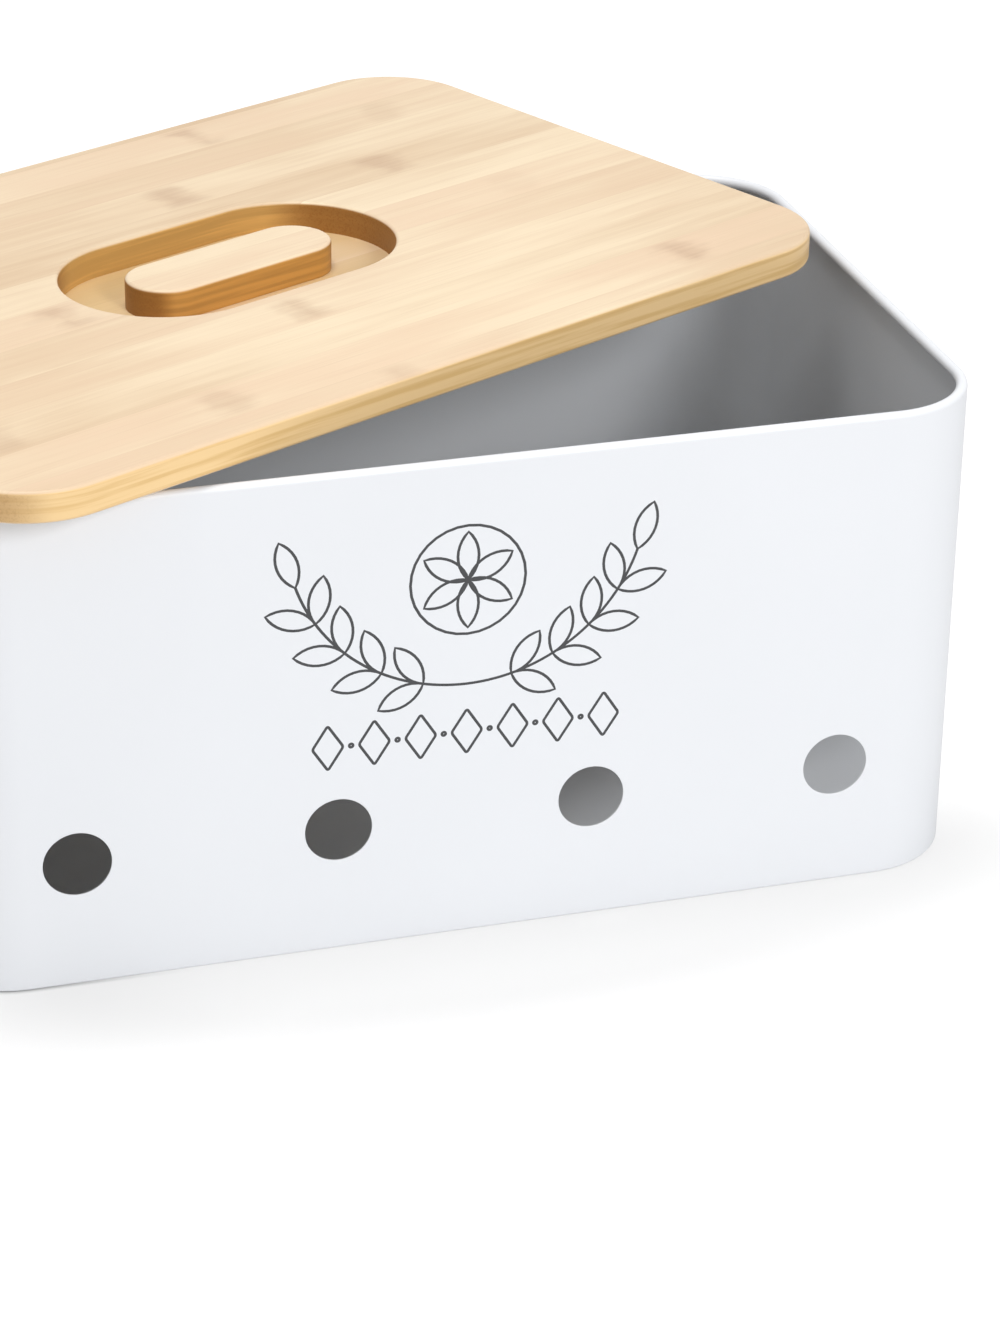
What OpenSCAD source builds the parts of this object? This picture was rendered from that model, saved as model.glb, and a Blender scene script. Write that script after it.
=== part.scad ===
// Potato storage bin: a ventilated steel bin with a loose bamboo lid.
// Millimetres, +Z up. The origin is the middle of the base, on the surface that the bin stands on,
// and the front is at -Y. The lid is drawn lying askew on the rim.

/* [Bin] */
// Outside length of the bin, left to right
bin_length = 320; // [260:1:420]
// Outside depth of the bin, front to back
bin_depth = 210; // [160:1:280]
// Height of the bin, up to the top of its rim
bin_height = 152; // [110:1:220]
// Outside radius of the four upright corners
corner_radius = 30; // [22:1:45]
// Thickness of the coated steel sheet
sheet = 0.6; // [0.4:0.1:1]
// Outside diameter of the inward roll along the top edge
rim_roll_diameter = 3.4; // [2.8:0.1:6]
// Inside radius of the small bend that turns the wall's lower edge inward
foot_inside_bend = 0.2; // [0.1:0.05:0.4]

/* [Seam at the back of the wall] */
// Flat sheet left between the seam and the bend of the back's left corner
seam_margin = 40; // [20:1:60]
// Width over which the two ends of the wall strip overlap
seam_lap = 12; // [8:1:20]
// Width and depth of the fine line that the seam leaves outside
seam_line = 0.3; // [0.2:0.05:0.35]

/* [Base pan] */
// Height of the upturned flange of the base pan
flange_height = 8; // [5:0.5:14]
// Outside radius of the bend between floor and flange
flange_bend_radius = 2; // [1.8:0.1:3]
// Gap between the flange and the wall that it is fixed in
flange_fit = 0.1; // [0.05:0.05:0.3]

/* [Vents] */
// Number of vents in the row, spread evenly between the corners
vent_count = 4; // [2:1:5]
// Diameter of each vent
vent_diameter = 20; // [12:0.5:26]
// Flat sheet left between a corner's bend and the vent next to it
vent_margin = 5; // [2:0.5:20]
// Height of the vents' lowest points above the surface
vent_sill = 29.5; // [16:0.5:50]

/* [Lid boards] */
// How far the lid board reaches past the bin's outside, all round
lid_overhang = 2; // [0:0.5:4]
// Radius of the lid board's corners
lid_corner_radius = 29; // [20:1:45]
// Thickness of the lid board
lid_board_thickness = 9.5; // [6:0.5:14]
// Thickness of the plug board under it
plug_thickness = 3; // [2:0.5:6]
// Play between the plug board and the rim when the lid is closed
plug_play = 1.8; // [0.5:0.1:3]
// Rounding of the boards' arrises
arris_radius = 1.2; // [0.5:0.1:1.4]

/* [Handle] */
// Length of the handle, over its round ends
handle_length = 74; // [60:1:90]
// Width of the handle
handle_width = 25; // [16:1:32]
// Finger room between the handle and the window's edge
finger_gap = 20; // [17:0.5:25]

/* [Place of the lid] */
// Turn of the lid about the vertical, anticlockwise from above
lid_turn = 26.1; // [0:0.1:30]
// Shift of the lid's middle to the right of the bin's middle
lid_shift_x = -36.5; // [-40:0.5:40]
// Shift of the lid's middle towards the back
lid_shift_y = 33.5; // [-40:0.5:40]
// Gap between the plug board and the top of the rim
rest_gap = 0.3; // [0.2:0.05:0.5]

/* [Hidden] */
$fn = 96;
// Cuts run this far past the faces that they open
cut_past = 1;

// Rim and foot of the wall
rim_roll_radius = rim_roll_diameter / 2;
rim_roll_centre_z = bin_height - rim_roll_radius;
foot_bend_radius = sheet + foot_inside_bend;

// Seam
seam_x = -bin_length / 2 + corner_radius + seam_margin + seam_lap / 2;

// Vents
vent_reach = bin_length / 2 - corner_radius - vent_margin - vent_diameter / 2;
vent_pitch = 2 * vent_reach / (vent_count - 1);
vent_height = vent_sill + vent_diameter / 2;

// Base pan
pan_inset = sheet + flange_fit;
pan_length = bin_length - 2 * pan_inset;
pan_depth = bin_depth - 2 * pan_inset;
pan_corner_radius = corner_radius - pan_inset;
pan_floor_inset = 2 * flange_bend_radius;

// Lid boards
lid_length = bin_length + 2 * lid_overhang;
lid_depth = bin_depth + 2 * lid_overhang;
plug_inset = rim_roll_diameter + plug_play;
plug_length = bin_length - 2 * plug_inset;
plug_depth = bin_depth - 2 * plug_inset;
plug_corner_radius = corner_radius - plug_inset;
plug_z = bin_height + rest_gap;
lid_board_z = plug_z + plug_thickness;
plug_arris_radius = min(arris_radius, plug_thickness / 2);

// Window and handle
window_length = handle_length + 2 * finger_gap;
window_width = handle_width + 2 * finger_gap;
// Width of the strips of board, inside the outline and round the window, that carry the rounded arrises
arris_band = 3;

// A flat rounded rectangle, centred on the origin
module rounded_rectangle(length, depth, radius) {
    square([length - 2 * radius, depth], center = true);
    if (depth > 2 * radius)
        square([length, depth - 2 * radius], center = true);
    for (side_x = [-1, 1], side_y = [-1, 1])
        translate([side_x * (length / 2 - radius), side_y * (depth / 2 - radius)])
            circle(r = radius);
}

// A straight stretch of a profile, run along X at a distance in front of the origin
module straight_run(run, distance) {
    if (run > 0)
        translate([-run / 2, -distance, 0])
            rotate([90, 0, 90])
                linear_extrude(run)
                    children();
}

// A profile carried once round a rounded rectangle. Its x runs inward from the outline and its y runs up.
module around(length, depth, radius) {
    for (turn = [0, 180])
        rotate(turn)
            straight_run(length - 2 * radius, depth / 2)
                children();
    for (turn = [90, 270])
        rotate(turn)
            straight_run(depth - 2 * radius, length / 2)
                children();
    for (corner = [[1, 1, 0], [-1, 1, 90], [-1, -1, 180], [1, -1, 270]])
        translate([corner[0] * (length / 2 - radius), corner[1] * (depth / 2 - radius), 0])
            rotate(corner[2])
                rotate_extrude(angle = 90)
                    translate([radius, 0])
                        mirror([1, 0])
                            children();
}

// Section of a bend of the sheet: a quarter turn between a level stretch and an upright one
module sheet_bend(radius) {
    translate([radius, radius])
        intersection() {
            difference() {
                circle(r = radius);
                circle(r = radius - sheet);
            }
            translate([-radius, -radius])
                square(radius);
        }
}

// Section of the wall: upright sheet that is turned inward at its foot, with its top rolled inward by three
// quarters of a turn
module wall_section() {
    sheet_bend(foot_bend_radius);
    translate([0, foot_bend_radius])
        square([sheet, rim_roll_centre_z - foot_bend_radius]);
    translate([rim_roll_radius, rim_roll_centre_z])
        difference() {
            circle(r = rim_roll_radius);
            circle(r = rim_roll_radius - sheet);
            translate([-rim_roll_diameter, -rim_roll_diameter])
                square([rim_roll_diameter, rim_roll_diameter]);
        }
}

// Section of the pan's edge: upturned flange, bend and the start of the floor
module pan_edge_section() {
    translate([0, flange_bend_radius])
        square([sheet, flange_height - flange_bend_radius]);
    translate([flange_bend_radius, 0])
        square([pan_floor_inset - flange_bend_radius, sheet]);
    sheet_bend(flange_bend_radius);
}

// Section of a board's edge band: a strip whose outer arrises are rounded above and below
module edge_section(thickness, top_radius, bottom_radius) {
    difference() {
        square([arris_band, thickness]);
        arris_waste(bottom_radius);
        translate([0, thickness])
            mirror([0, 1])
                arris_waste(top_radius);
    }
}

// What a rounded arris takes off a section's corner at the origin
module arris_waste(radius) {
    if (radius > 0)
        difference() {
            translate([-cut_past, -cut_past])
                square(radius + cut_past);
            translate([radius, radius])
                circle(r = radius);
        }
}

// Moves what is drawn about the lid's own middle to where the lid lies
module on_lid(height) {
    translate([lid_shift_x, lid_shift_y, height])
        rotate(lid_turn)
            children();
}

module bin_wall() {
    color("whitesmoke")
        difference() {
            union() {
                around(bin_length, bin_depth, corner_radius)
                    wall_section();
                seam_overlap();
            }
            vents();
            seam_groove();
        }
}

// Inner end of the wall strip, lapped behind the outer end between the base pan and the rim roll
module seam_overlap() {
    foot = flange_height + cut_past;
    head = rim_roll_centre_z - rim_roll_radius - cut_past;
    translate([seam_x - seam_lap / 2, bin_depth / 2 - 2 * sheet, foot])
        cube([seam_lap, sheet, head - foot]);
}

// Fine line down the outside of the seam, from the rim roll to the bend at the foot
module seam_groove() {
    translate([seam_x + seam_lap / 2 - seam_line, bin_depth / 2 - seam_line, foot_bend_radius])
        cube([seam_line, seam_line + cut_past, rim_roll_centre_z - foot_bend_radius]);
}

// Row of round vents through the front
module vents() {
    for (index = [0 : vent_count - 1])
        translate([index * vent_pitch - vent_reach, -bin_depth / 2 - cut_past, vent_height])
            rotate([-90, 0, 0])
                cylinder(d = vent_diameter, h = sheet + 2 * cut_past);
}

module base_pan() {
    color("gainsboro") {
        around(pan_length, pan_depth, pan_corner_radius)
            pan_edge_section();
        linear_extrude(sheet)
            rounded_rectangle(
                pan_length - 2 * pan_floor_inset,
                pan_depth - 2 * pan_floor_inset,
                pan_corner_radius - pan_floor_inset
            );
    }
}

module lid_board() {
    color("burlywood")
        on_lid(lid_board_z) {
            around(lid_length, lid_depth, lid_corner_radius)
                edge_section(lid_board_thickness, arris_radius, arris_radius);
            linear_extrude(lid_board_thickness)
                difference() {
                    rounded_rectangle(
                        lid_length - 2 * arris_band,
                        lid_depth - 2 * arris_band,
                        lid_corner_radius - arris_band
                    );
                    rounded_rectangle(
                        window_length + 2 * arris_band,
                        window_width + 2 * arris_band,
                        window_width / 2 + arris_band
                    );
                }
            around(window_length, window_width, window_width / 2)
                mirror([1, 0])
                    edge_section(lid_board_thickness, arris_radius, 0);
        }
}

module lid_plug() {
    color("tan")
        on_lid(plug_z) {
            around(plug_length, plug_depth, plug_corner_radius)
                edge_section(plug_thickness, 0, plug_arris_radius);
            linear_extrude(plug_thickness)
                rounded_rectangle(
                    plug_length - 2 * arris_band,
                    plug_depth - 2 * arris_band,
                    plug_corner_radius - arris_band
                );
        }
}

module lid_handle() {
    color("wheat")
        on_lid(lid_board_z) {
            around(handle_length, handle_width, handle_width / 2)
                edge_section(lid_board_thickness, arris_radius, 0);
            linear_extrude(lid_board_thickness)
                rounded_rectangle(
                    handle_length - 2 * arris_band,
                    handle_width - 2 * arris_band,
                    handle_width / 2 - arris_band
                );
        }
}

bin_wall();
base_pan();
lid_board();
lid_plug();
lid_handle();
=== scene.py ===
# Potato storage bin: a vented steel bin with a loose bamboo lid that lies askew on its rim.
# Metres, +Z up. The origin is the middle of the base, and the front is at -Y.
from math import asin, cos, hypot, pi, radians, sin

import bmesh
import bpy
from mathutils import Matrix, Vector


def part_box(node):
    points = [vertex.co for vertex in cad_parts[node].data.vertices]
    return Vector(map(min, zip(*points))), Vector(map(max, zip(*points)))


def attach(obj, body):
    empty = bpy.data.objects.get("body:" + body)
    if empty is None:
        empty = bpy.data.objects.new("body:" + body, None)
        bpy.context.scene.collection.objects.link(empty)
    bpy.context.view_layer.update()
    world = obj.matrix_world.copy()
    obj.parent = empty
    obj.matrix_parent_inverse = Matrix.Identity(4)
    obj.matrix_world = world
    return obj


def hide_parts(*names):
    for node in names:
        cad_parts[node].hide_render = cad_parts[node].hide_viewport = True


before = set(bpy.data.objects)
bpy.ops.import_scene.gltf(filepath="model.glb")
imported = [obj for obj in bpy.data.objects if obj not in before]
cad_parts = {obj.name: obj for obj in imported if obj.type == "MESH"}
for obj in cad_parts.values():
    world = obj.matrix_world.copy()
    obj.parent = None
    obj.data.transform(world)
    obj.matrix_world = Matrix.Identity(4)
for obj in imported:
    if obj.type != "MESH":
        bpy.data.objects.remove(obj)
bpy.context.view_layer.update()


# Wall of the bin: one strip of thin steel, bent round four large corners and lapped at a seam at the back.
# The top edge is rolled inward, the lower one is turned in, and a row of vents is punched in the front.
# It is powder coated, satin white outside and pale grey inside.
bin_length = 0.320
bin_depth = 0.210
bin_height = 0.152
corner_radius = 0.030
sheet = 0.0006
rim_roll_radius = 0.0017
rim_roll_centre_z = bin_height - rim_roll_radius
foot_bend_radius = 0.0008
seam_x = -0.084
seam_lap = 0.012
seam_line = 0.0003
seam_foot = 0.009
vent_count = 4
vent_diameter = 0.020
vent_height = 0.0395
vent_reach = 0.115
vent_pitch = 2 * vent_reach / (vent_count - 1)
# Rounding that the coat leaves on cut edges of the sheet, which are the edges sharper than this angle
coated_edge = 0.00012
cut_edge_angle = radians(60)
# Points closer than this are one point
weld = 0.00001
# Steps in the quarter turn of a large corner, in the foot's bend, in the roll of the rim and round a vent
corner_steps = 24
foot_steps = 6
roll_steps = 24
vent_steps = 96
white_paint = (0.802, 0.819, 0.850)
grey_paint = (0.680, 0.700, 0.728)


def start_section(name, x, y, z):
    """A new piece, open in edit mode, with one point selected at the start of its section."""
    bpy.ops.object.select_all(action="DESELECT")
    bpy.ops.mesh.primitive_plane_add(size=sheet)
    piece = bpy.context.object
    piece.name = piece.data.name = name
    bpy.ops.object.mode_set(mode="EDIT")
    bpy.ops.mesh.merge(type="CENTER")
    bpy.ops.transform.translate(value=(x, y, z))
    return piece


def draw_line(x, y, z):
    """Draws on from what is selected, by that step."""
    bpy.ops.mesh.extrude_region_move(TRANSFORM_OT_translate={"value": (x, y, z)})


def draw_arc(centre, axis, angle, steps):
    """Draws on from what is selected, round a centre. Spin turns against its axis, hence the minus."""
    bpy.ops.mesh.spin(steps=steps, angle=-angle, center=centre, axis=axis)


def carry_round(length, depth, radius, steps):
    """Carries a section, drawn at the middle of the back, once round a rounded rectangle."""
    x = length / 2 - radius
    y = depth / 2 - radius
    bpy.ops.mesh.select_all(action="SELECT")
    runs = ((-x, 0), (0, -2 * y), (2 * x, 0), (0, 2 * y))
    corners = ((-x, y), (-x, -y), (x, -y), (x, y))
    for run, corner in zip(runs, corners):
        if hypot(*run) > weld:
            draw_line(*run, 0)
        draw_arc((*corner, 0), (0, 0, 1), pi / 2, steps)
    draw_line(-x, 0, 0)
    bpy.ops.mesh.select_all(action="SELECT")
    bpy.ops.mesh.remove_doubles(threshold=weld)


def close_up():
    """Turns every face of the open mesh outward and leaves edit mode."""
    bpy.ops.mesh.select_all(action="SELECT")
    bpy.ops.mesh.normals_make_consistent(inside=False)
    bpy.ops.object.mode_set(mode="OBJECT")


def apply_modifier(piece, kind, **settings):
    """Gives a piece a modifier and applies it to the mesh."""
    modifier = piece.modifiers.new(kind, kind)
    for name, value in settings.items():
        setattr(modifier, name, value)
    bpy.context.view_layer.objects.active = piece
    bpy.ops.object.modifier_apply(modifier=modifier.name)


def select_only(*pieces):
    """Selects these pieces and makes the first one active."""
    bpy.ops.object.select_all(action="DESELECT")
    for piece in pieces:
        piece.select_set(True)
    bpy.context.view_layer.objects.active = pieces[0]


def round_cut_edges(piece):
    """Rounds the cut edges of the sheet, as the coat does."""
    settings = {"width": coated_edge, "limit_method": "ANGLE", "angle_limit": cut_edge_angle}
    apply_modifier(piece, "BEVEL", segments=2, **settings)


def smooth(piece, crease=radians(35)):
    """Smooth shading with sharp creases, in which the large flat faces stay flat."""
    select_only(piece)
    bpy.ops.object.shade_smooth_by_angle(angle=crease)
    apply_modifier(piece, "WEIGHTED_NORMAL", keep_sharp=True)


def cut_with(piece, operation, *tools):
    """Joins the tools into one solid, cuts it from a piece or adds it, and clears the tools away."""
    select_only(*tools)
    if len(tools) > 1:
        bpy.ops.object.join()
    apply_modifier(piece, "BOOLEAN", operation=operation, object=tools[0], solver="EXACT")
    bpy.data.objects.remove(tools[0])


def solid_block(low, high):
    """A rectangular block between two corners, as a tool."""
    size = Vector(high) - Vector(low)
    bpy.ops.object.select_all(action="DESELECT")
    bpy.ops.mesh.primitive_cube_add(size=1, location=(Vector(low) + Vector(high)) / 2, scale=size)
    return bpy.context.object


def solid_bar(radius, reach, x, y, z):
    """A round bar along Y about a point, as a tool."""
    bpy.ops.object.select_all(action="DESELECT")
    bpy.ops.mesh.primitive_cylinder_add(
        vertices=vent_steps, radius=radius, depth=2 * reach, location=(x, y, z), rotation=(pi / 2, 0, 0)
    )
    return bpy.context.object


class Signal:
    """What one socket of a material's nodes gives, so that shader maths reads as plain expressions."""

    def __init__(self, socket):
        self.socket = socket

    def node(self, kind, inputs, output=0, **settings):
        """Adds and sets up a node, feeds its sockets with values or signals, and gives one output."""
        tree = self.socket.id_data
        node = tree.nodes.new(kind)
        for name, value in settings.items():
            setattr(node, name, value)
        for name, value in inputs.items():
            if isinstance(value, Signal):
                tree.links.new(value.socket, node.inputs[name])
            else:
                node.inputs[name].default_value = value
        return Signal(node.outputs[output])

    def maths(self, operation, *values):
        return self.node("ShaderNodeMath", dict(enumerate(values)), operation=operation)

    def __add__(self, other):
        return self.maths("ADD", self, other)

    def __radd__(self, other):
        return self.maths("ADD", other, self)

    def __sub__(self, other):
        return self.maths("SUBTRACT", self, other)

    def __rsub__(self, other):
        return self.maths("SUBTRACT", other, self)

    def __mul__(self, other):
        return self.maths("MULTIPLY", self, other)

    def __rmul__(self, other):
        return self.maths("MULTIPLY", other, self)

    def __truediv__(self, other):
        return self.maths("DIVIDE", self, other)

    def __abs__(self):
        return self.maths("ABSOLUTE", self)

    def floor(self):
        return self.maths("FLOOR", self)

    def fraction(self):
        return self.maths("FRACT", self)

    def larger(self, other):
        return self.maths("MAXIMUM", self, other)

    def rise(self, low, high):
        """0 below low, 1 above high, with a smooth rise between them."""
        limits = {0: self, 1: low, 2: high, 3: 0, 4: 1}
        return self.node("ShaderNodeMapRange", limits, interpolation_type="SMOOTHSTEP")

    def axis(self, index):
        """One of the three parts of a vector."""
        return self.node("ShaderNodeSeparateXYZ", {0: self}, output=index)

    def stretch(self, x, y, z):
        """The same vector with each part multiplied by its own number."""
        return self.node("ShaderNodeVectorMath", {0: self, 1: (x, y, z)}, operation="MULTIPLY")

    def noise(self, detail=2, roughness=0.5):
        """Soft noise about one unit across."""
        inputs = {"Vector": self, "Scale": 1, "Detail": detail, "Roughness": roughness}
        return self.node("ShaderNodeTexNoise", inputs)

    def between(self, first, second):
        """A colour from first, where this is 0, to second, where it is 1."""
        colours = [colour if isinstance(colour, Signal) else (*colour, 1) for colour in (first, second)]
        inputs = {0: self, 6: colours[0], 7: colours[1]}
        return self.node("ShaderNodeMix", inputs, output=2, data_type="RGBA")


def new_finish(name):
    """A new material, with its place on the object as a signal."""
    material = bpy.data.materials.new(name)
    material.use_nodes = True
    coordinates = material.node_tree.nodes.new("ShaderNodeTexCoord")
    return material, Signal(coordinates.outputs["Object"])


def set_shader(material, **inputs):
    """Sets or feeds the sockets of a material's own shader, named with _ for a space."""
    shader = material.node_tree.nodes["Principled BSDF"]
    for name, value in inputs.items():
        socket = shader.inputs[name.replace("_", " ").title()]
        if isinstance(value, Signal):
            material.node_tree.links.new(value.socket, socket)
        else:
            socket.default_value = value


def powder_coat(name, paint, gloss_spread):
    """Baked powder coat: an even colour, faintly mottled, under a fine orange-peel skin."""
    mottle_size = 0.060
    mottle_depth = 0.015
    peel_size = 0.0016
    peel_depth = 0.00001
    material, place = new_finish(name)
    mottle = place.stretch(*[1 / mottle_size] * 3).noise()
    peel = place.stretch(*[1 / peel_size] * 3).noise(detail=1)
    lighter = [channel * (1 + mottle_depth) for channel in paint]
    darker = [channel * (1 - mottle_depth) for channel in paint]
    bump = place.node("ShaderNodeBump", {"Strength": 0.35, "Distance": peel_depth, "Height": peel})
    set_shader(
        material,
        base_color=mottle.between(darker, lighter),
        roughness=gloss_spread[0] + mottle * (gloss_spread[1] - gloss_spread[0]),
        normal=bump,
    )
    return material


white_coat = powder_coat("white_powder_coat", white_paint, gloss_spread=(0.36, 0.46))
grey_coat = powder_coat("grey_powder_coat", grey_paint, gloss_spread=(0.34, 0.44))

wall = start_section("steel_wall", 0, bin_depth / 2 - foot_bend_radius, 0)
draw_arc((0, bin_depth / 2 - foot_bend_radius, foot_bend_radius), (1, 0, 0), pi / 2, foot_steps)
draw_line(0, 0, rim_roll_centre_z - foot_bend_radius)
draw_arc((0, bin_depth / 2 - rim_roll_radius, rim_roll_centre_z), (1, 0, 0), 1.5 * pi, roll_steps)
carry_round(bin_length, bin_depth, corner_radius, corner_steps)
close_up()
wall.data.materials.append(white_coat)
wall.data.materials.append(grey_coat)
apply_modifier(wall, "SOLIDIFY", thickness=sheet, offset=-1, use_even_offset=True, material_offset=1)

vents = [
    solid_bar(vent_diameter / 2, 3 * sheet, index * vent_pitch - vent_reach, -bin_depth / 2, vent_height)
    for index in range(vent_count)
]
cut_with(wall, "DIFFERENCE", *vents)
lap = solid_block(
    (seam_x - seam_lap / 2, bin_depth / 2 - 2 * sheet, seam_foot),
    (seam_x + seam_lap / 2, bin_depth / 2 - sheet + weld, rim_roll_centre_z - rim_roll_radius - sheet),
)
lap.data.materials.append(grey_coat)
cut_with(wall, "UNION", lap)
round_cut_edges(wall)
seam_cut = solid_block(
    (seam_x + seam_lap / 2 - seam_line, bin_depth / 2 - seam_line, foot_bend_radius),
    (seam_x + seam_lap / 2, bin_depth / 2 + sheet, rim_roll_centre_z),
)
cut_with(wall, "DIFFERENCE", seam_cut)
smooth(wall)
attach(wall, "bin")
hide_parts("bin_wall")


# Base pan: the steel floor of the bin, pressed with an upturned flange and pushed into the wall's foot.
# It has the same grey coat as the inside of the wall, and it is fixed through the flange.
flange_height = 0.008
flange_bend_radius = 0.002
flange_fit = 0.0001
pan_inset = sheet + flange_fit
pan_length = bin_length - 2 * pan_inset
pan_depth = bin_depth - 2 * pan_inset
pan_floor_band = 2 * flange_bend_radius
bend_steps = 8


def fill_level(piece, level):
    """Fills the flat face, between the mesh's open edges at one height."""
    mesh = bmesh.from_edit_mesh(piece.data)
    bpy.ops.mesh.select_all(action="DESELECT")
    bpy.ops.mesh.select_mode(type="EDGE")
    for edge in mesh.edges:
        heights = [abs(corner.co.z - level) for corner in edge.verts]
        edge.select_set(edge.is_boundary and max(heights) < weld)
    bmesh.update_edit_mesh(piece.data)
    bpy.ops.mesh.fill(use_beauty=True)
    bpy.ops.mesh.select_mode(type="VERT")


pan = start_section("base_pan_floor", 0, pan_depth / 2, flange_height)
draw_line(0, 0, flange_bend_radius - flange_height)
draw_arc((0, pan_depth / 2 - flange_bend_radius, flange_bend_radius), (1, 0, 0), -pi / 2, bend_steps)
draw_line(0, flange_bend_radius - pan_floor_band, 0)
carry_round(pan_length, pan_depth, corner_radius - pan_inset, corner_steps)
fill_level(pan, 0)
close_up()
pan.data.materials.append(grey_coat)
apply_modifier(pan, "SOLIDIFY", thickness=sheet, offset=-1, use_even_offset=True)
round_cut_edges(pan)
smooth(pan)
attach(pan, "bin")
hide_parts("base_pan")


# Print on the front: thin dark lines of ink, laid on the white coat by a pad and baked with it.
# Two leafy sprigs stand round a rosette, and a row of plain lozenges runs below them.
ink_line = 0.00085
ink_proud = 0.00004
print_middle_z = 0.1085
band_middle_z = 0.0666
front = -bin_depth / 2
toward_viewer = (0, -1, 0)
ink_colour = (0.040, 0.041, 0.044)
# Steps in a leaf's side, in a ring and in the whole stem
leaf_steps = 10
ring_steps = 32
stem_steps = 64


def join_up(name, pieces):
    """Makes one piece, with its place in its mesh, out of several."""
    for piece in pieces:
        select_only(piece)
        bpy.ops.object.transform_apply(location=True, rotation=True, scale=True)
    select_only(*pieces)
    if len(pieces) > 1:
        bpy.ops.object.join()
    pieces[0].name = pieces[0].data.name = name
    return pieces[0]


def turned_copy(piece, x, z, turn, mirror=1):
    """A copy with its own mesh, turned about the origin in the front's plane, then put in its place."""
    copy = piece.copy()
    copy.data = piece.data.copy()
    bpy.context.collection.objects.link(copy)
    in_place = Matrix.Translation((x, 0, z)) @ Matrix.Rotation(turn, 4, toward_viewer)
    copy.matrix_world = Matrix.Diagonal((mirror, 1, 1, 1)) @ in_place
    return copy


def draw_leaf(length, width):
    """The outline of a pointed leaf that stands on the origin: two arcs that meet at base and tip."""
    leaf = start_section("leaf", 0, front, 0)
    half = length / 2
    arc_radius = (half * half + width * width / 4) / width
    sweep = 2 * asin(half / arc_radius)
    reach = arc_radius - width / 2
    draw_arc((-reach, front, half), toward_viewer, sweep, leaf_steps)
    draw_arc((reach, front, half), toward_viewer, sweep, leaf_steps)
    bpy.ops.mesh.select_all(action="SELECT")
    bpy.ops.mesh.remove_doubles(threshold=weld)
    bpy.ops.object.mode_set(mode="OBJECT")
    return leaf


def draw_ring(radius, x, z):
    """A ring about a point of the front."""
    ring = start_section("ring", x + radius, front, z)
    draw_arc((x, front, z), toward_viewer, 2 * pi, ring_steps)
    bpy.ops.mesh.select_all(action="SELECT")
    bpy.ops.mesh.remove_doubles(threshold=weld)
    bpy.ops.object.mode_set(mode="OBJECT")
    return ring


def printing_ink():
    """Dark ink, a little thinner here and there."""
    spots_per_metre = 400
    thinning = 1.6
    material, place = new_finish("dark_ink")
    thin = place.stretch(*[spots_per_metre] * 3).noise()
    lighter = [channel * thinning for channel in ink_colour]
    set_shader(material, base_color=thin.between(ink_colour, lighter), roughness=0.42 + 0.1 * thin)
    return material


ink = printing_ink()


def print_lines(name, drawings):
    """Turns drawn lines to ink: round-ended lines of even width, pressed flat onto the front."""
    piece = join_up(name, drawings)
    bpy.ops.object.convert(target="CURVE")
    piece = bpy.context.object
    piece.data.bevel_depth = ink_line / 2
    piece.data.bevel_resolution = 2
    piece.data.use_fill_caps = True
    bpy.ops.object.convert(target="MESH")
    piece = bpy.context.object
    piece.data.materials.clear()
    bpy.ops.object.mode_set(mode="EDIT")
    bpy.ops.mesh.select_all(action="DESELECT")
    bpy.ops.mesh.select_non_manifold()
    bpy.ops.mesh.remove_doubles(threshold=weld)
    bpy.ops.mesh.select_all(action="SELECT")
    bpy.ops.transform.resize(value=(1, 2 * ink_proud / ink_line, 1), center_override=(0, front, 0))
    close_up()
    piece.data.materials.append(ink)
    smooth(piece)
    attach(piece, "bin")
    return piece


# The two sprigs grow out of the middle of one arc, their stem, with leaves splayed on both sides of it
stem_foot_z = print_middle_z - 0.0265
stem_radius = 0.053
stem_sweep = radians(72)
leaf_length = 0.0150
leaf_width = 0.0062
leaf_splay = radians(42)
leaf_pairs = 5
stem_centre_z = stem_foot_z + stem_radius
leaf = draw_leaf(leaf_length, leaf_width)
stem_tip_z = stem_centre_z - stem_radius * cos(stem_sweep)
stem = start_section("stem", -stem_radius * sin(stem_sweep), front, stem_tip_z)
draw_arc((0, front, stem_centre_z), toward_viewer, 2 * stem_sweep, stem_steps)
bpy.ops.object.mode_set(mode="OBJECT")
sprigs = [stem]
for side in (1, -1):
    for pair in range(1, leaf_pairs + 1):
        angle = stem_sweep * pair / leaf_pairs
        x = stem_radius * sin(angle)
        z = stem_centre_z - stem_radius * cos(angle)
        heading = angle - pi / 2
        splays = (-leaf_splay, leaf_splay) if pair < leaf_pairs else (0,)
        sprigs += [turned_copy(leaf, x, z, heading + splay, side) for splay in splays]
print_lines("printed_sprigs", sprigs)

# The rosette is six petals in a ring
rosette_z = print_middle_z + 0.0065
rosette_ring = 0.0170
petals = [turned_copy(leaf, 0, rosette_z, index * pi / 3) for index in range(6)]
print_lines("printed_rosette", petals + [draw_ring(rosette_ring, 0, rosette_z)])
bpy.data.objects.remove(leaf)

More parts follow.
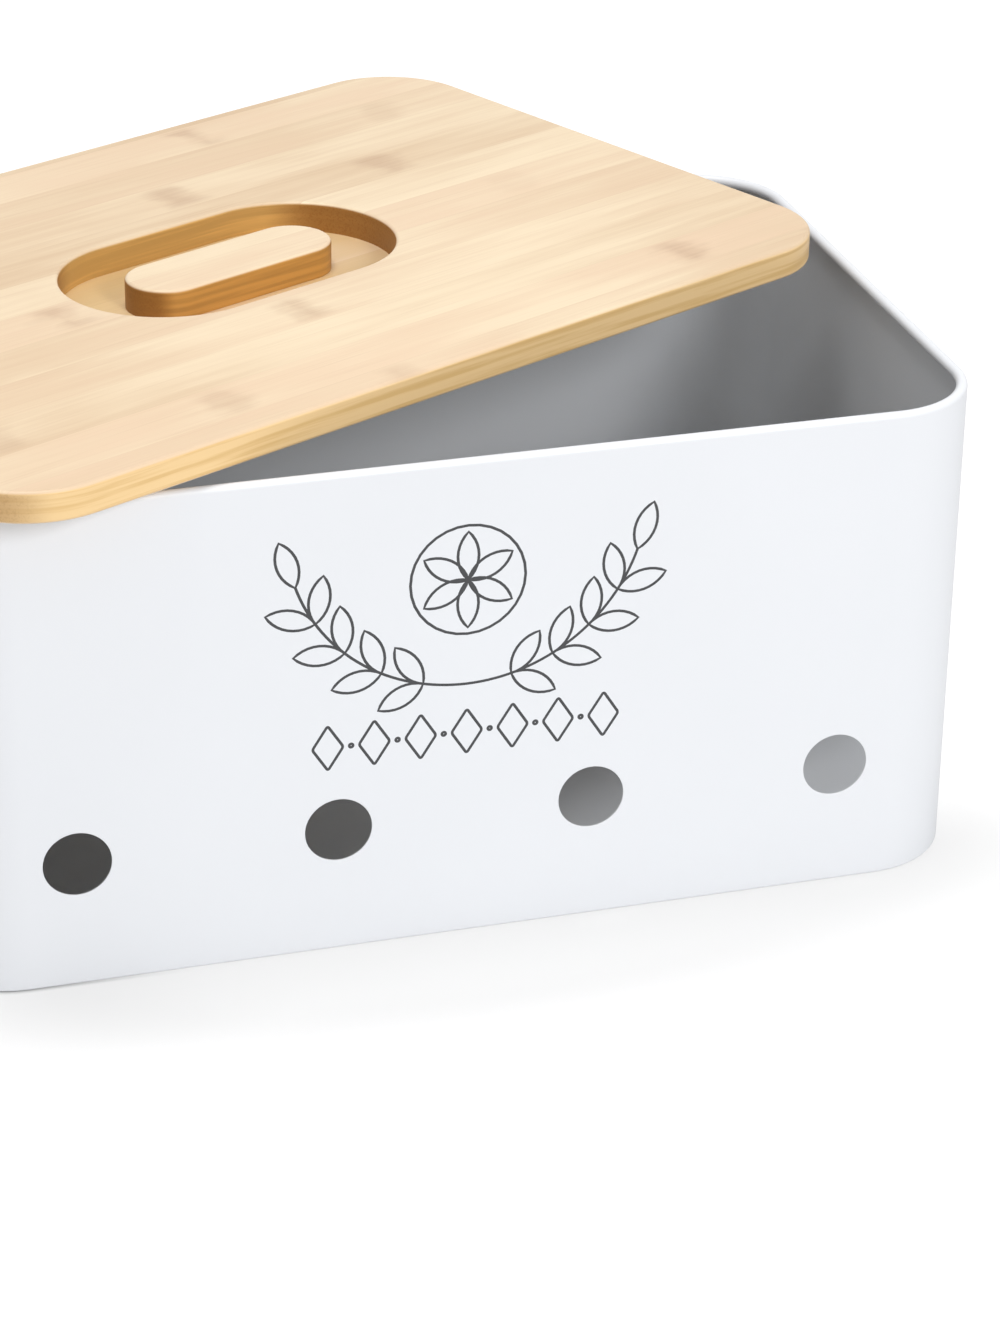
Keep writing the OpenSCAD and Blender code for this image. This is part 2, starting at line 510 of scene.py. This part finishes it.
# The row is seven lozenges with dots between them
lozenge_count = 7
lozenge_pitch = 0.0138
lozenge_half_width = 0.0046
lozenge_half_height = 0.0072
lozenge_rounding = 0.0007
dot_radius = 0.00055
row = []
for index in range(lozenge_count):
    x = (index - (lozenge_count - 1) / 2) * lozenge_pitch
    lozenge = start_section("lozenge", x - lozenge_half_width, front, band_middle_z)
    for across, up in ((1, 1), (1, -1), (-1, -1), (-1, 1)):
        draw_line(across * lozenge_half_width, 0, up * lozenge_half_height)
    bpy.ops.mesh.select_all(action="SELECT")
    bpy.ops.mesh.remove_doubles(threshold=weld)
    bpy.ops.mesh.bevel(offset=lozenge_rounding, segments=4, affect="VERTICES")
    bpy.ops.object.mode_set(mode="OBJECT")
    row.append(lozenge)
    if index:
        row.append(draw_ring(dot_radius, x - lozenge_pitch / 2, band_middle_z))
print_lines("printed_lozenges", row)


# Plug board: the thin board under the lid board, glued to it, that drops inside the rim of the closed bin.
# It closes the lid board's window from below, as the recess's floor, and its lower arrises are rounded.
# Like the rest of the lid it is bamboo, glued up from strips that run along it and clear coated.
plug_low, plug_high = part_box("lid_plug")
lid_middle = (plug_low + plug_high) / 2
lid_turn = radians(26.1)
plug_play = 0.0018
plug_thickness = 0.003
plug_inset = 2 * rim_roll_radius + plug_play
arris_radius = 0.0012
arris_steps = 6
# Width of the flat band that is carried round with each edge
edge_band = 0.003


def draw_board_edge(name, side, depth, top, thickness, above, below):
    """The section of a board's rounded edge: outward for side 1, round a window for side -1."""
    bottom = top - thickness
    quarter = -side * pi / 2
    edge = start_section(name, 0, depth / 2 - side * edge_band, top)
    draw_line(0, side * (edge_band - above), 0)
    if above:
        draw_arc((0, depth / 2 - side * above, top - above), (1, 0, 0), quarter, arris_steps)
    draw_line(0, 0, above + below - thickness)
    if below:
        draw_arc((0, depth / 2 - side * below, bottom + below), (1, 0, 0), quarter, arris_steps)
    draw_line(0, side * (below - edge_band), 0)
    return edge


def lay_on_rim(piece):
    """Turns and shifts a piece of the lid to where the lid lies, within its mesh, and dresses it."""
    select_only(piece)
    piece.rotation_euler.z = lid_turn
    piece.location = (lid_middle.x, lid_middle.y, 0)
    bpy.ops.object.transform_apply(location=True, rotation=True, scale=False)
    smooth(piece)
    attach(piece, "lid")


def bamboo(name, first_strip, cream, honey, amber):
    """Clear-coated bamboo: strips of slightly different tone, with fibres, soft streaks and faint nodes.

    Its sides are golden, with fine lines between the layers, and end grain is browner. The routed faces
    round the window stand in the recess and are painted darker amber as shade, and its end walls browner
    still.
    """
    strip_width = 0.020
    node_pitch = 0.180
    node_reach = 0.010
    node_waver = 0.024
    # Length and width of the marks along a strip
    fibre_size = (0.050, 0.0008)
    streak_size = (0.060, 0.0035)
    cloud_size = (0.080, 0.0220)
    blotch_size = (0.020, 0.0120)
    # Slow change of tone over the whole board
    sweep_size = 0.160
    layer_waver = 0.060
    layer_height = 0.0018
    pores_per_metre = 1500
    # Half the length and half the width of the area round the window whose upright faces are routed ones,
    # down in the recess, where they get painted shade
    recess_shade_length = 0.0600
    recess_shade_width = 0.0360
    grain_depth = 0.00008
    blush = (0.790, 0.590, 0.405)
    knuckle = (0.480, 0.300, 0.180)
    golden = (0.750, 0.490, 0.200)
    pale_gold = (0.880, 0.620, 0.310)
    pale_amber = [1.35 * channel for channel in amber]
    end_grain_and_shade_brown = (0.300, 0.125, 0.022)
    material, place = new_finish(name)
    spot = {"Vector": place, "Location": (lid_middle.x, lid_middle.y, 0), "Rotation": (0, 0, lid_turn)}
    local = place.node("ShaderNodeMapping", spot, vector_type="TEXTURE")
    along, across, up = (local.axis(index) for index in range(3))

    row = across / strip_width + first_strip
    strip = row.floor()
    tone = place.node("ShaderNodeTexWhiteNoise", {"W": strip}, noise_dimensions="1D")
    hue = place.node("ShaderNodeTexWhiteNoise", {"W": strip + 0.5}, noise_dimensions="1D")

    def grain(length, width, detail=2):
        """Noise drawn out along the strip, different in each one."""
        parts = {0: along / length + 40 * tone, 1: across / width, 2: up / width}
        return place.node("ShaderNodeCombineXYZ", parts).noise(detail)

    fibre = grain(*fibre_size, 3)
    streak = grain(*streak_size, 3)
    cloud = grain(*cloud_size)
    board_place = {0: along / sweep_size + first_strip, 1: across / sweep_size}
    sweep = place.node("ShaderNodeCombineXYZ", board_place).noise(1)

    # Nodes: blurred darker marks, most of them faint, at places that differ from strip to strip
    stalk = along / node_pitch + 5 * tone
    cell = place.node("ShaderNodeCombineXYZ", {0: stalk.floor(), 1: strip})
    boldness = place.node("ShaderNodeTexWhiteNoise", {"Vector": cell}, noise_dimensions="2D")
    blotch = grain(*blotch_size, 3)
    from_node = abs(stalk.fraction() - 0.5) * node_pitch + node_waver * (blotch - 0.5)
    from_joint = abs(row.fraction() - 0.5)
    in_strip = 1 - from_joint.rise(0.30, 0.55)
    node_mark = (1 - from_node.rise(0, node_reach)) * in_strip * boldness.rise(0, 0.80)
    joint = from_joint.rise(0.490, 0.5)

    # Upper and lower faces: cream to honey, with a blush here and there, nodes, joints and fibres
    shade = 0.35 * tone + 0.70 * cloud + 0.50 * streak + 1.00 * sweep - 0.98
    pale = shade.rise(0, 0.80).between(cream, honey)
    warm = (cloud * (0.25 + 0.55 * hue) + 0.2 * streak).rise(0.25, 0.70).between(pale, blush)
    marked = (node_mark * (0.30 + 0.40 * fibre)).between(warm, knuckle)
    face = (0.15 * joint + 0.12 * fibre.rise(0.50, 0.75)).between(marked, knuckle)

    # Upright faces: layered gold, and browner where the grain ends. The routed faces in the recess are
    # painted darker amber as shade, and its end walls browner still
    facing = place.node("ShaderNodeNewGeometry", {}, output=1)
    flank = 1 - abs(facing.axis(2)).rise(0.25, 0.75)
    long_axis = {0: facing, 1: (cos(lid_turn), sin(lid_turn), 0)}
    lengthwise = place.node("ShaderNodeVectorMath", long_axis, output=1, operation="DOT_PRODUCT")
    end_on = abs(lengthwise).rise(0.38, 0.82)
    layer_place = {0: along / layer_waver, 1: across / layer_waver, 2: up / layer_height}
    layers = place.node("ShaderNodeCombineXYZ", layer_place).noise(3)
    routed_recess_shade = 1 - (abs(along) / recess_shade_length).larger(abs(across) / recess_shade_width).rise(0.98, 1.02)
    pores = place.stretch(*[pores_per_metre] * 3).noise(1).rise(0.52, 0.62) * end_on
    gold = layers.rise(0.34, 0.58).between(golden, pale_gold)
    side = routed_recess_shade.between(gold, layers.rise(0.34, 0.66).between(amber, pale_amber))
    # End grain is browner, and the end walls of the recess get more brown on top of it, which is painted
    # shade
    end_grain_and_recess_shade = (0.45 * end_on + 0.42 * end_on * routed_recess_shade + 0.10 * pores).between(side, end_grain_and_shade_brown)
    colour = flank.between(face, end_grain_and_recess_shade)

    relief = 0.7 * fibre + 0.3 * streak - joint
    bump = place.node("ShaderNodeBump", {"Strength": 0.25, "Distance": grain_depth, "Height": relief})
    set_shader(material, base_color=colour, roughness=0.40 + 0.14 * fibre, normal=bump)
    return material


plug_length = bin_length - 2 * plug_inset
plug_depth = bin_depth - 2 * plug_inset
plug_first_strip = 7.3
plug_pale = (0.705, 0.500, 0.245)
plug_dark = (0.620, 0.425, 0.195)
plug_amber = (0.530, 0.300, 0.085)
plug_bamboo = bamboo("bamboo_plug_board", plug_first_strip, plug_pale, plug_dark, plug_amber)

plug = draw_board_edge("plug_board", 1, plug_depth, plug_high.z, plug_thickness, 0, arris_radius)
carry_round(plug_length, plug_depth, corner_radius - plug_inset, corner_steps)
fill_level(plug, plug_high.z)
fill_level(plug, plug_high.z - plug_thickness)
close_up()
plug.data.materials.append(plug_bamboo)
lay_on_rim(plug)
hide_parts("lid_plug")


# Lid board: the flat top of the lid, a board of glued strips with rounded corners and softened arrises.
# A long round-ended window is routed right through it for the fingers. It is glued onto the plug board.
lid_overhang = 0.002
lid_corner_radius = 0.029
lid_board_thickness = 0.0095
handle_length = 0.074
handle_width = 0.025
finger_gap = 0.020
lid_length = bin_length + 2 * lid_overhang
lid_depth = bin_depth + 2 * lid_overhang
lid_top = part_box("lid_board")[1].z
window_length = handle_length + 2 * finger_gap
window_width = handle_width + 2 * finger_gap
window_steps = 32

cream = (0.850, 0.695, 0.485)
honey = (0.640, 0.455, 0.280)
# Painted shade: the window's routed walls, down in the recess, are given this darker amber
window_shaded_amber = (0.550, 0.320, 0.095)
first_strip = 11.85
board_bamboo = bamboo("bamboo_lid_board", first_strip, cream, honey, window_shaded_amber)

board_heights = (lid_top, lid_board_thickness)
window = draw_board_edge("window", -1, window_width, *board_heights, arris_radius, 0)
carry_round(window_length, window_width, window_width / 2, window_steps)
bpy.ops.object.mode_set(mode="OBJECT")
board = draw_board_edge("lid_board_bamboo", 1, lid_depth, *board_heights, arris_radius, arris_radius)
carry_round(lid_length, lid_depth, lid_corner_radius, corner_steps)
bpy.ops.object.mode_set(mode="OBJECT")
board = join_up("lid_board_bamboo", [board, window])
bpy.ops.object.mode_set(mode="EDIT")
fill_level(board, lid_top)
fill_level(board, lid_top - lid_board_thickness)
close_up()
board.data.materials.append(board_bamboo)
lay_on_rim(board)
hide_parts("lid_board")


# Handle: the round-ended grip in the middle of the window, cut from the same board and level with it.
# It is glued onto the plug board, and its upper arris is rounded for the fingers.
# Painted shade: the handle's sides, deep in the recess, are given an amber darker still than the window's
# walls
grip_shaded_amber = (0.460, 0.235, 0.055)
grip_bamboo = bamboo("bamboo_handle", first_strip, cream, honey, grip_shaded_amber)

grip = draw_board_edge("handle_grip", 1, handle_width, *board_heights, arris_radius, 0)
carry_round(handle_length, handle_width, handle_width / 2, window_steps)
fill_level(grip, lid_top)
fill_level(grip, lid_top - lid_board_thickness)
close_up()
grip.data.materials.append(grip_bamboo)
lay_on_rim(grip)
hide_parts("lid_handle")


# The table top, light and camera: a plain pale table, large soft lamps, and the photograph's point of view.
# The camera's place and angles come from a fit to the bin's edges in an image of 1000 by 1333 pixels.
table_radius = 2.5
table_sides = 96
table_colour = (0.80, 0.80, 0.80)
# What the camera alone sees of the table: a colour that keeps the shadows, and a glow that is less near the
# front of the bin, as painted shade there, within an oval of this half length and half depth
seen_colour = (0.30, 0.30, 0.30)
front_shade_glow = (0.56, 0.56, 0.56)
far_glow = (0.80, 0.80, 0.80)
near_length = 0.190
near_depth = 0.060
# A painted contact shadow: a dark line where the foot stands on the table, which fades out along the bin
# towards the key lamp
contact_shadow_reach = 0.003
contact_shadow_fade = (-0.150, -0.080)
# Share of full white that the surroundings light the object with
ambient = 0.55
lamp_size = 0.4
camera_place = (-0.28470, -1.07539, 0.59755)
camera_yaw = radians(16.880)
camera_pitch = radians(26.760)
camera_roll = radians(0.823)
focal_length = 106.73
film_height = 36


def seen_directly(material_or_world):
    """1 for what the camera sees directly, in a reflection or through glass, 0 for light on surfaces."""
    path = material_or_world.node_tree.nodes.new("ShaderNodeLightPath")
    kinds = ("Is Camera Ray", "Is Glossy Ray", "Is Transmission Ray")
    camera_ray, glossy_ray, transmission_ray = (Signal(path.outputs[kind]) for kind in kinds)
    return camera_ray.larger(glossy_ray).larger(transmission_ray)


bpy.ops.object.select_all(action="DESELECT")
bpy.ops.mesh.primitive_circle_add(vertices=table_sides, radius=table_radius, fill_type="NGON")
table = bpy.context.object
table.name = "table"
table_finish, table_place = new_finish("pale_table")
camera_only = Signal(table_finish.node_tree.nodes.new("ShaderNodeLightPath").outputs["Is Camera Ray"])
near_front = {"Vector": table_place, "Location": (0, front, 0), "Scale": (near_length, near_depth, 1)}
from_front = table_place.node("ShaderNodeMapping", near_front, vector_type="TEXTURE")
distance = from_front.node("ShaderNodeVectorMath", {0: from_front}, output=1, operation="LENGTH")
away = distance.rise(0.6, 1.3)
# Painted shade: the glow is lower in the oval in front of the bin
glow = away.between(front_shade_glow, far_glow)
# Painted contact shadow: the glow is dimmed next to the foot, most at the end away from the key lamp
nearby = {"Distance": contact_shadow_reach}
open_air = from_front.node("ShaderNodeAmbientOcclusion", nearby, output=1).rise(0.25, 0.85)
seen_glow = open_air.larger(table_place.axis(0).rise(*contact_shadow_fade)).between((0, 0, 0), glow)
set_shader(
    table_finish,
    base_color=camera_only.between(table_colour, seen_colour),
    roughness=0.9,
    emission_color=camera_only.between((0, 0, 0), seen_glow),
    emission_strength=1,
)
table.data.materials.append(table_finish)

world = bpy.data.worlds.new("studio")
bpy.context.scene.world = world
world.use_nodes = True
backdrop = world.node_tree.nodes["Background"]
backdrop.inputs["Color"].default_value = (1, 1, 1, 1)
strength = ambient + seen_directly(world) * (1 - ambient)
world.node_tree.links.new(strength.socket, backdrop.inputs["Strength"])


def soft_lamp(name, place, power):
    """A square lamp that faces the middle of the bin."""
    bpy.ops.object.light_add(type="AREA", location=place)
    lamp = bpy.context.object
    lamp.name = name
    lamp.data.size = lamp_size
    lamp.data.energy = power
    aim = Vector((0, 0, bin_height / 2)) - Vector(place)
    lamp.rotation_euler = aim.to_track_quat("-Z", "Y").to_euler()


soft_lamp("key_lamp", place=(0.46, -1.58, 1.02), power=13.5)
soft_lamp("top_lamp", place=(-0.15, -0.05, 1.5), power=8.5)

bpy.ops.object.camera_add(location=camera_place)
camera = bpy.context.object
camera.data.lens = focal_length
camera.data.sensor_width = film_height
camera.matrix_world = (
    Matrix.Translation(camera_place)
    @ Matrix.Rotation(-camera_yaw, 4, "Z")
    @ Matrix.Rotation(pi / 2 - camera_pitch, 4, "X")
    @ Matrix.Rotation(camera_roll, 4, "Z")
)
bpy.context.scene.camera = camera
bpy.context.scene.view_settings.view_transform = "Standard"
